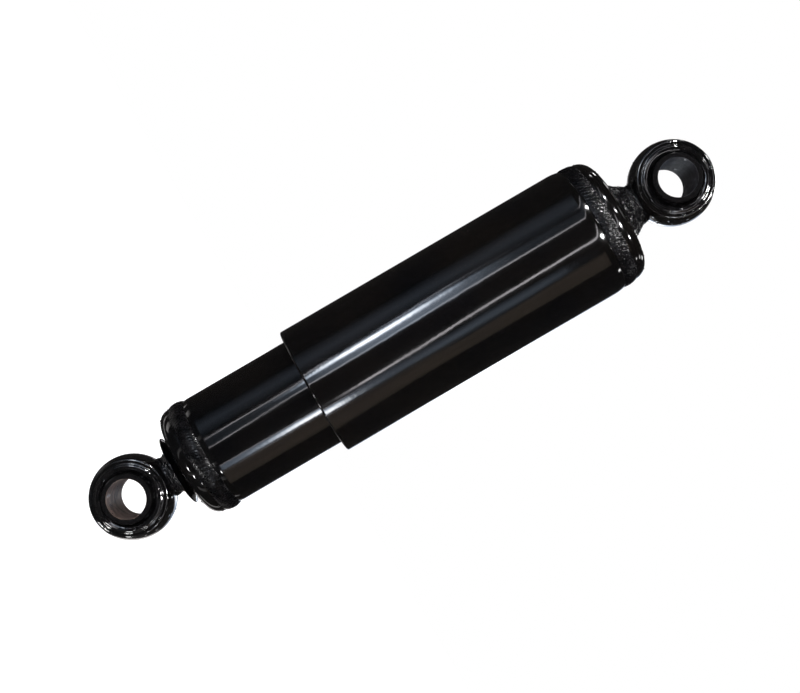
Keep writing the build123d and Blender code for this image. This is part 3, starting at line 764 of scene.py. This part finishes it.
class SHOCK_OT_stage(bpy.types.Operator):
    """Sets up the floor, the surround, the lamps and the camera"""

    bl_idname = "shock.stage"
    bl_label = "Studio"

    def execute(self, context):
        settings = context.scene.shock_stage
        self.floor(settings)
        self.surround(context.scene, settings)
        self.tent(settings)
        self.glow_cards(settings)
        self.floor_strips(settings, "front_strips", 0.9, ((26, 4, 0.12), (64, 9, 0.25), (327, 7, 0.12)))
        self.floor_strips(settings, "back_strips", 2.4, ((128, 5, 0.2), (166, 15, 0.2), (232, 5, 0.2), (262, 14, 0.35)))
        self.sparkle_lamps(settings)
        self.camera(context.scene, settings)
        context.scene.view_settings.view_transform = "Standard"
        return {"FINISHED"}

    def seen_rays(self, tree):
        """1 for rays from the camera, in reflections and through glass, 0 for light on matt surfaces."""
        path = add_node(tree, "ShaderNodeLightPath")
        seen = calculate(tree, "MAXIMUM", path.outputs["Is Camera Ray"], path.outputs["Is Glossy Ray"])
        return calculate(tree, "MAXIMUM", seen, path.outputs["Is Transmission Ray"])

    def stage_mesh(self, name, mesh, finish, **seen):
        """A staged object that stands in the frame's axes. seen holds its ray switches."""
        data = bpy.data.meshes.new(name)
        mesh.to_mesh(data)
        mesh.free()
        data.materials.append(finish)
        thing = bpy.data.objects.new(name, data)
        bpy.context.scene.collection.objects.link(thing)
        for key, value in seen.items():
            setattr(thing, key, value)
        return thing

    def floor(self, settings):
        """A wide pale floor, white to the eye and darker only where the object shades it."""
        finish, tree, shader = new_finish("studio_floor", Roughness=1.0)
        grain = noise_at(tree, place_on_piece(tree), 0.05, 3)
        set_inputs(shader, {"Base Color": mix_colors(tree, grain, (0.80, 0.80, 0.80), (0.84, 0.84, 0.84)),
                            "Specular IOR Level": 0.0})
        own_light = 0.72
        glow = add_node(tree, "ShaderNodeEmission",
                        {"Strength": calculate(tree, "MULTIPLY", self.seen_rays(tree), own_light)})
        both = add_node(tree, "ShaderNodeAddShader", {0: shader.outputs[0], 1: glow.outputs[0]})
        set_inputs(tree.nodes["Material Output"], {"Surface": both.outputs[0]})
        mesh = bmesh.new()
        bmesh.ops.create_grid(mesh, x_segments=8, y_segments=8, size=6)
        self.stage_mesh("floor", mesh, finish).location = (0, 0, -settings.floor_drop)

    def surround(self, scene, settings):
        """White all round for the camera and gloss, and dimmer as light on matt surfaces."""
        world = bpy.data.worlds.new("surround")
        world.use_nodes = True
        scene.world = world
        tree = world.node_tree
        level = spread(tree, self.seen_rays(tree), 0, 1, settings.sky_level, 1.0)
        set_inputs(tree.nodes["Background"], {"Color": (1, 1, 1, 1), "Strength": level})

    def tent(self, settings):
        """A tent of dark cloth round the shock, which only its gloss sees: black paint needs black to mirror."""
        finish, tree, shader = new_finish("tent_cloth", Roughness=1.0)
        weave = noise_at(tree, place_on_piece(tree), 0.02, 2)
        set_inputs(shader, {"Base Color": mix_colors(tree, weave, (0.030, 0.028, 0.026), (0.045, 0.043, 0.042)),
                            "Specular IOR Level": 0.0})
        radius, floor, steps = settings.tent_radius, 0.01 - settings.floor_drop, 48
        section = ((0.002, floor), (radius, floor), (radius, 1.7), (0.9 * radius, 2.2), (0.12 * radius, 2.5))
        mesh = bmesh.new()
        rows = [[mesh.verts.new(polar(reach, TURN * step / steps, z)) for step in range(steps)] for reach, z in section]
        for low, high in zip(rows, rows[1:]):
            for step in range(steps):
                following = (step + 1) % steps
                mesh.faces.new((low[following], low[step], high[step], high[following]))
        self.stage_mesh("tent", mesh, finish, visible_camera=False, visible_diffuse=False, visible_shadow=False,
                        visible_transmission=False)

    def glow_cards(self, settings):
        """Lit cards in front of the tent. Their images are the streaks along the tubes."""
        pale, cool, warm, white = (1.0, 0.96, 1.0), (0.66, 0.80, 1.0), (1.0, 0.82, 0.66), (1.0, 1.0, 1.0)
        window = ((-23, -4, -0.17), (-26, -6, -0.08), (-27, -11, 0.02), (-33, -10.5, 0.10), (-34, -12, 0.20),
                  (-38.5, -15, 0.325), (-40, -17.5, 0.49), (-41, -19, 0.75), (-47, -25, 0.90), (-67, -45, 1.2))
        self.card(settings, "window", window, cool, 0.32, pale, 6.5, (0.77, 0.85),
                  ((0.5, 0.285, 1.2, 0.18, 4.2, cool), (0.36, 0.25, 0.22, 0.13, 44, white)))
        self.card(settings, "short_streak", ((34, 49, -0.15), (35, 50, 0.04), (35, 48, 0.13)), cool, 2.6, pale, 4.5,
                  (0.74, 0.86), ((0.55, 0.66, 0.5, 0.42, 32, white),))
        self.card(settings, "tail_glow", ((30, 53, 0.09), (30, 53, 0.25), (30, 49, 0.5)), cool, 1.3, cool, 0.0)
        long_line = ((29, 33, 0.07), (27.0, 30.6, 0.196), (21.4, 25.0, 0.325), (18.2, 21.7, 0.486), (17, 20.5, 0.75),
                     (12, 17, 0.90), (-6, 1, 1.2))
        self.card(settings, "long_line", long_line, pale, 9.0, pale, 4.0, (0.6, 1.0))
        self.card(settings, "warm_wall", ((46, 82, -0.20), (46, 82, 0.05), (46, 75, 0.2), (46, 74, 0.80)),
                  warm, 0.42, warm, 0.20, (0.7, 1.0))
        self.card(settings, "cool_wall", ((-70, -30, -0.20), (-72, -34, 0.80)), cool, 0.50, cool, 0.0)
        self.card(settings, "back_window", ((164, 178, -0.2), (163, 176, 0.8)), cool, 0.8, pale, 1.4, (0.84, 0.9),
                  ((0.5, 0.5, 0.5, 0.3, 4.0, white),))
        self.card(settings, "back_line", ((189, 191.5, -0.2), (190, 192, 0.8)), pale, 1.1, pale, 0.7, (0.6, 1.0))

    def shine(self, settings, tree, color, level):
        """Makes a finish give this light, in place of its surface shader."""
        tree.nodes.remove(tree.nodes["Principled BSDF"])
        power = calculate(tree, "MULTIPLY", level, settings.lamp_level)
        glow = add_node(tree, "ShaderNodeEmission", {"Color": color, "Strength": power})
        set_inputs(tree.nodes["Material Output"], {"Surface": glow.outputs[0]})

    def floor_strips(self, settings, name, full_level, places):
        """Lit strips on the tent's floor that point at the shock, for streaks in views from above.

        places are (degrees from the front, width in degrees, distance at which the strip starts).
        """
        finish, tree, _ = new_finish(name)
        place = place_on_piece(tree)
        far = spread(tree, length_of(tree, place), 0.3, 1.6, 1.0, 0.15)
        patches = spread(tree, noise_at(tree, place, 0.2, 2), 0.3, 0.7, 0.6, 1.2)
        level = calculate(tree, "MULTIPLY", calculate(tree, "MULTIPLY", far, patches), full_level)
        self.shine(settings, tree, (1.0, 0.97, 0.96, 1), level)
        mesh = bmesh.new()
        height = 0.03 - settings.floor_drop
        for turn, width, start in places:
            rows = [[mesh.verts.new(from_front(side, reach, height)) for side in (turn - width / 2, turn + width / 2)]
                    for reach in (start, start + 0.25, 1.2, 1.6, 2.0)]
            for near_row, far_row in zip(rows, rows[1:]):
                mesh.faces.new((near_row[0], far_row[0], far_row[1], near_row[1]))
        self.stage_mesh(name, mesh, finish, visible_camera=False, visible_diffuse=False, visible_shadow=False)

    def card(self, settings, name, edges, color, level, rim_color, rim_level, rim=(0.1, 1.0), glows=()):
        """A card bent round the shock. edges are (left, right, height) in degrees from the front and metres.

        rim gives where its edge begins and ends, from 0 in the middle to 1. Each glow is a soft spot: its middle
        across and up the card and its half sizes, as shares of the card, its level and its colour.
        """
        finish, tree, _ = new_finish(name)
        card_point = add_node(tree, "ShaderNodeUVMap", uv_map="card").outputs[0]
        across, along = part_of(tree, card_point, "X"), part_of(tree, card_point, "Y")
        aside, endways = (calculate(tree, "ABSOLUTE", calculate(tree, "SUBTRACT", share, 0.5))
                          for share in (across, along))
        rim_share = spread(tree, aside, rim[0] / 2, rim[1] / 2)
        fade = spread(tree, endways, 0.45, 0.5, 1.0, 0.0)
        patches = spread(tree, noise_at(tree, place_on_piece(tree), 0.12, 3), 0.3, 0.7, 0.8, 1.15)
        strength = calculate(tree, "MULTIPLY", patches, spread(tree, rim_share, 0, 1, level, rim_level))
        glow_color = mix_colors(tree, rim_share, color, rim_color)
        for u, v, wide, tall, peak, glow_tone in glows:
            place = add_node(tree, "ShaderNodeCombineXYZ", {
                0: calculate(tree, "DIVIDE", calculate(tree, "SUBTRACT", across, u), wide),
                1: calculate(tree, "DIVIDE", calculate(tree, "SUBTRACT", along, v), tall)}).outputs[0]
            spot = spread(tree, length_of(tree, place), 0.0, 1.0, 1.0, 0.0, interpolation_type="SMOOTHSTEP")
            strength = calculate(tree, "ADD", strength, calculate(tree, "MULTIPLY", spot, peak))
            glow_color = mix_colors(tree, spot, glow_color, glow_tone)
        self.shine(settings, tree, glow_color, calculate(tree, "MULTIPLY", strength, fade))
        mesh = bmesh.new()
        coordinates = mesh.loops.layers.uv.new("card")
        columns, low, high = 12, edges[0][2], edges[-1][2]
        grid = [[(mesh.verts.new(from_front(left + (right - left) * column / columns, settings.card_radius, height)),
                  (column / columns, (height - low) / (high - low))) for column in range(columns + 1)]
                for left, right, height in edges]
        for lower, upper in zip(grid, grid[1:]):
            for column in range(columns):
                corners = (lower[column], lower[column + 1], upper[column + 1], upper[column])
                face = mesh.faces.new([vertex for vertex, _ in corners])
                for loop, (_, place) in zip(face.loops, corners):
                    loop[coordinates].uv = place
        self.stage_mesh(name, mesh, finish, visible_camera=False, visible_shadow=False)

    def sparkle_lamps(self, settings):
        """A soft lamp on top for matt surfaces, and small bright ones for the dots on welds, rubber and rings.

        Two lamps are low in front of the lower eye. places gives the others, as (degrees from the front, degrees
        up, watts), and chance sets the ones behind the shock.
        """
        middle, eye, away = Vector((0, 0, UPPER_EYE / 2)), Vector((0, 0, LOWER_EYE)), 1.3
        self.lamp("overhead_lamp", middle + Vector((0, -0.3, 1.5)), middle, 0.9, 14 * settings.lamp_level,
                  visible_glossy=False)
        for name, place in (("low_lamp_1", (0.20, -0.35, -0.20)), ("low_lamp_2", (0.05, -0.30, -0.22))):
            self.lamp(name, Vector(place), eye, 0.04, 0.4 * settings.lamp_level, visible_diffuse=False)
        spots = random.Random(settings.seed)
        places = [(-38, 37, 13), (22, 34, 12), (-8, 56, 4), (56, 48, 5), (48, -18.4, 1.2)]
        for number in range(settings.sparkle_count):
            turn = 90 + 180 * (number + spots.uniform(0.1, 0.9)) / settings.sparkle_count
            places.append((turn, spots.uniform(24, 60), spots.uniform(0.25, 0.5)))
        for number, (turn, rise, power) in enumerate(places):
            rise = math.radians(rise)
            place = middle + from_front(turn, away * math.cos(rise), away * math.sin(rise))
            self.lamp(f"sparkle_lamp_{number + 1}", place, middle, spots.uniform(0.08, 0.15),
                      power * settings.lamp_level, visible_diffuse=False)

    def lamp(self, name, place, target, width, power, **seen):
        """A round lamp that faces a target and that the camera doesn't see. seen holds more ray switches."""
        glow = bpy.data.lights.new(name, "AREA")
        glow.shape, glow.size, glow.energy = "DISK", width, power
        holder = bpy.data.objects.new(name, glow)
        facing = (target - place).to_track_quat("-Z", "Y").to_matrix().to_4x4()
        holder.matrix_world = Matrix.Translation(place) @ facing
        holder.visible_camera = False
        for key, value in seen.items():
            setattr(holder, key, value)
        bpy.context.scene.collection.objects.link(holder)

    def camera(self, scene, settings):
        """The camera in front of the shock, rolled so that the shock's axis climbs to the right."""
        yaw, pitch, roll = math.radians(-1.90), math.radians(0.8076), math.radians(59.74)
        place = Vector((32.91, -908.69, 172.35)) * MM
        lens = bpy.data.cameras.new("camera")
        lens.sensor_width, lens.lens, lens.clip_start = 36, settings.lens, 0.05
        look = Vector((math.tan(yaw), 1, math.tan(pitch))).normalized()
        right = look.cross(Vector((0, 0, 1))).normalized()
        up = right.cross(look)
        across = right * math.cos(roll) + up * math.sin(roll)
        above = up * math.cos(roll) - right * math.sin(roll)
        holder = bpy.data.objects.new("camera", lens)
        holder.matrix_world = Matrix.Translation(place) @ Matrix((across, above, -look)).transposed().to_4x4()
        scene.collection.objects.link(holder)
        scene.camera = holder


class SHOCK_PT_panel(bpy.types.Panel):
    """Lists the shock absorber's settings and steps"""

    bl_idname = "SHOCK_PT_panel"
    bl_label = "Shock Absorber"
    bl_space_type = "VIEW_3D"
    bl_region_type = "UI"
    bl_category = "Shock"

    def draw(self, context):
        for group in SETTINGS:
            settings = getattr(context.scene, group)
            box = self.layout.box()
            for key in settings.bl_rna.properties.keys():
                if key not in ("rna_type", "name"):
                    box.prop(settings, key)
        for operator in OPERATORS:
            self.layout.operator(operator.bl_idname)


SETTINGS = {"shock_paint": PaintSettings, "shock_weld": WeldSettings, "shock_tubes": TubeSettings,
            "shock_rubber": RubberSettings, "shock_stage": StageSettings}
# main() runs the operators in this order
OPERATORS = (SHOCK_OT_paint, SHOCK_OT_seam_welds, SHOCK_OT_neck_welds, SHOCK_OT_rubbers, SHOCK_OT_sleeves,
             SHOCK_OT_check_springs, SHOCK_OT_inner_works, SHOCK_OT_stage)


def register():
    for group in (*SETTINGS.values(), *OPERATORS, SHOCK_PT_panel):
        bpy.utils.register_class(group)
    for key, group in SETTINGS.items():
        setattr(bpy.types.Scene, key, bpy.props.PointerProperty(type=group))


def unregister():
    for key in SETTINGS:
        delattr(bpy.types.Scene, key)
    for group in (SHOCK_PT_panel, *reversed(OPERATORS), *SETTINGS.values()):
        bpy.utils.unregister_class(group)


def main():
    """Builds the whole scene."""
    register()
    for operator in OPERATORS:
        getattr(bpy.ops.shock, operator.bl_idname.removeprefix("shock."))()


if __name__ == "__main__":
    main()
